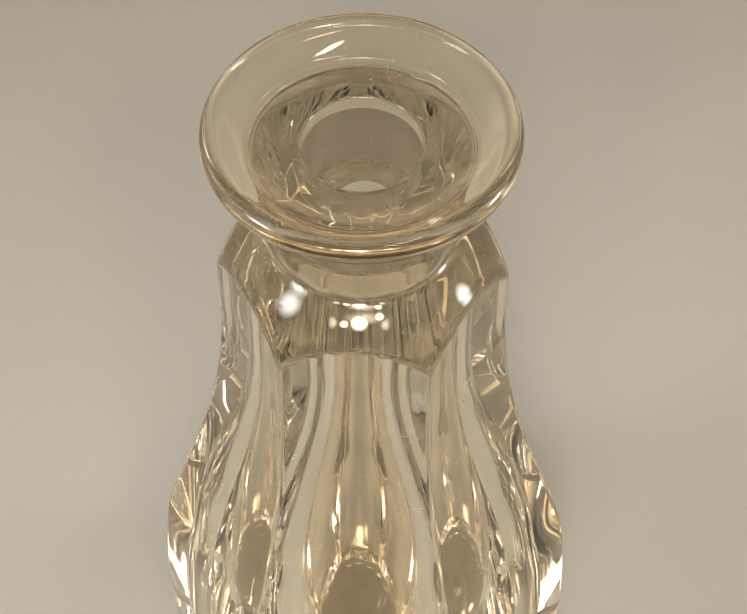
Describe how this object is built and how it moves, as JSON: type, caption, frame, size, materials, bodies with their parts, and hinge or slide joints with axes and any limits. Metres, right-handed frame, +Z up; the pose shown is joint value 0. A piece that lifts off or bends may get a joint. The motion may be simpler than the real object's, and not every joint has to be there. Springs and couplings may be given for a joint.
{
  "type": "perfume bottle",
  "caption": "Open cut-glass scent bottle with hexagonal flared body, dished lip and ground neck, and a lift-up glass stopper with dauber rod.",
  "frame": {"origin": "middle of the flat face that the bottle stands on", "axes": "+Z up along the bottle's axis and out of its neck; one flat panel faces -Y, and the stopper lies on the -Y side"},
  "size_m": [0.0791, 0.0877, 0.127],
  "materials": {
    "crystal": "polished cut crystal",
    "stopper_crystal": "polished crystal with a ground plug",
    "rod_glass": "fire-polished glass rod"
  },
  "bodies": {
    "bottle": {"bottle": "crystal"},
    "stopper": {"stopper": "stopper_crystal", "dauber": "rod_glass"}
  },
  "joints": [
    {"name": "stopper_lift", "type": "slide", "parent": "bottle", "child": "stopper", "axis": [0, 0, 1], "range_m": [0, 0.06]}
  ]
}
